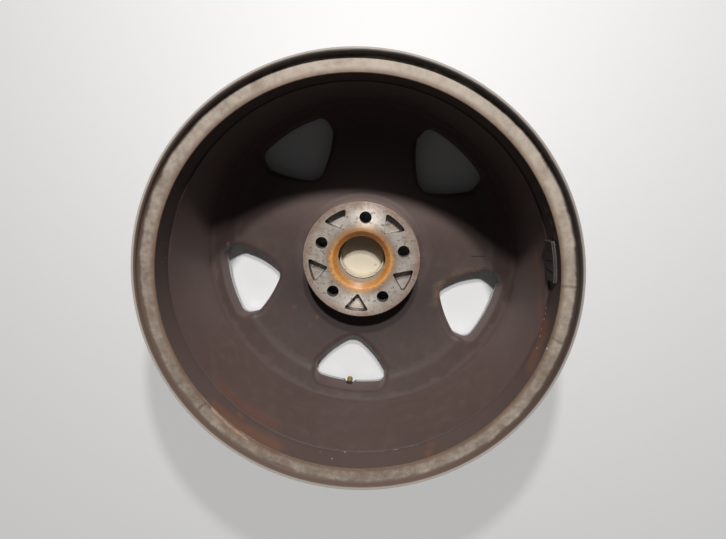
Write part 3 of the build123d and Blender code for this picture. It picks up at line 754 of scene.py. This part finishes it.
# Balance weight: a stick-on strip of zinc segments, painted grey and dusty in clouds of 7 mm, its
# grey darkened as painted shade. Its edge next to the lip and its upper end are rubbed to bare
# metal and lightened as a painted highlight.
weight_rim_z = 0.1985
weight_end_y = 0.0672
zinc = new_material("painted_zinc_weight")
tree = zinc.node_tree
place, _, upwards, height, _ = wheel_place(tree)
cloud = add(tree, "TexNoise", {"Vector": place, "Scale": 150, "Detail": 5, "Roughness": 0.6})
grain = add(tree, "TexNoise", {"Vector": place, "Scale": 1500, "Detail": 2})
# the grey is darkened into painted shade
colour = add(tree, "Mix", {0: cloud, 6: linear("2F2725"), 7: linear("463C39")}, data_type="RGBA")
normal = add(tree, "NewGeometry").node.outputs["Normal"]
soft = add(tree, "Bevel", {"Radius": 0.0006}, samples=4)
bend = add(tree, "VectorMath", {0: normal, 1: soft}, operation="DOT_PRODUCT")
bend = bend.node.outputs["Value"]
worn = add(tree, "MapRange", {"Value": bend, "From Min": 0.995, "From Max": 0.9})
# the edge next to the lip and the upper end: rubbed bare, and lightened as a painted highlight
rim_edge = add(
    tree, "MapRange",
    {"Value": height, "From Min": weight_rim_z - 0.0007, "From Max": weight_rim_z, "To Min": 0.1},
)
end_edge = add(
    tree, "MapRange",
    {"Value": upwards, "From Min": weight_end_y - 0.0010, "From Max": weight_end_y},
)
bare_and_highlit_edges = add(tree, "Math", {0: rim_edge, 1: end_edge}, operation="MAXIMUM")
worn = add(tree, "Math", {0: worn, 1: bare_and_highlit_edges}, operation="MULTIPLY")
colour = add(tree, "Mix", {0: worn, 6: colour, 7: linear("B9B2AA")}, data_type="RGBA")
rough = add(tree, "MapRange", {"Value": cloud, "To Min": 0.45, "To Max": 0.65})
bump = add(tree, "Bump", {"Height": grain, "Strength": 0.25, "Distance": 0.0002, "Normal": soft})
bsdf = add(tree, "BsdfPrincipled", {"Base Color": colour, "Roughness": rough, "Normal": bump})
add(tree, "OutputMaterial", {"Surface": bsdf})
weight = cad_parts["balance_weight"]
weight.data.materials.clear()
weight.data.materials.append(zinc)


# Weight tape: closed-cell foam with glue on both sides, between the strip and the ledge. Nearly
# black and quite dull, with cut cells of 0.4 mm on its edges.
foam = new_material("black_foam_tape")
tree = foam.node_tree
place = add(tree, "TexCoord").node.outputs["Object"]
cells = add(tree, "TexVoronoi", {"Vector": place, "Scale": 2500})
colour = add(tree, "Mix", {0: cells, 6: linear("15100F"), 7: linear("37302D")}, data_type="RGBA")
bump = add(tree, "Bump", {"Height": cells, "Strength": 0.4, "Distance": 0.0002})
bsdf = add(tree, "BsdfPrincipled", {"Base Color": colour, "Roughness": 0.85, "Normal": bump})
add(tree, "OutputMaterial", {"Surface": bsdf})
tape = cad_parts["weight_tape"]
tape.data.materials.clear()
tape.data.materials.append(foam)


# Floor: a plain pale studio surface, matt and even, on which the wheel lies on its outboard
# flange.
floor_size = 6.0
pale_floor = new_material("white_floor")
tree = pale_floor.node_tree
bsdf = add(tree, "BsdfPrincipled", {"Base Color": linear("F8F7F6"), "Roughness": 0.8})
add(tree, "OutputMaterial", {"Surface": bsdf})
bpy.ops.mesh.primitive_plane_add(size=floor_size, location=(0, 0, 0))
floor = bpy.context.object
floor.name = "floor"
floor.data.materials.append(pale_floor)


# Light: a soft key from above the photo's top edge. Half of it is a distant lamp and half a small
# one near the wheel, whose rays spread into the barrel's sides. The surround gives a little even
# light, and the camera sees it as a pale backdrop.
sun = bpy.data.lights.new("key", "SUN")
sun.energy = 1.72
sun.angle = math.radians(3)
key = bpy.data.objects.new("key", sun)
key.matrix_world = Matrix((
    (1, 0, 0, 0),
    (0, 0.827, 0.562, 1.2),
    (0, -0.562, 0.827, 1.8),
    (0, 0, 0, 1),
))
bpy.context.scene.collection.objects.link(key)
disc = bpy.data.lights.new("near_key", "AREA")
disc.shape = "DISK"
disc.size = 0.06
disc.energy = 4.45
near_key = bpy.data.objects.new("near_key", disc)
near_key.matrix_world = Matrix((
    (1, 0, 0, 0),
    (0, 0.762, 0.648, 0.65),
    (0, -0.648, 0.762, 0.83),
    (0, 0, 0, 1),
))
bpy.context.scene.collection.objects.link(near_key)
world = bpy.data.worlds.new("surround")
bpy.context.scene.world = world
world.use_nodes = True
tree = world.node_tree
tree.nodes.clear()
even = add(tree, "Background", {"Color": (1, 1, 1, 1), "Strength": 0.06})
seen = add(tree, "Background", {"Color": linear("F2F1EF"), "Strength": 1})
ray = add(tree, "LightPath").node.outputs["Is Camera Ray"]
surround = add(tree, "MixShader", {0: ray, 1: even, 2: seen})
add(tree, "OutputWorld", {"Surface": surround})


# Camera: where the photographer stood, found from the circles of flange, pad and bolt holes.
camera_data = bpy.data.cameras.new("camera")
camera_data.sensor_width = 36     # millimetres, as the lens
camera_data.lens = 25.53
camera = bpy.data.objects.new("camera", camera_data)
camera.matrix_world = Matrix((
    (0.9938, -0.1088, 0.0245, 0.02045),
    (0.1008, 0.9701, 0.2207, 0.13879),
    (-0.0478, -0.2169, 0.9750, 0.73085),
    (0, 0, 0, 1),
))
bpy.context.scene.collection.objects.link(camera)
bpy.context.scene.camera = camera
bpy.context.scene.view_settings.view_transform = "Standard"
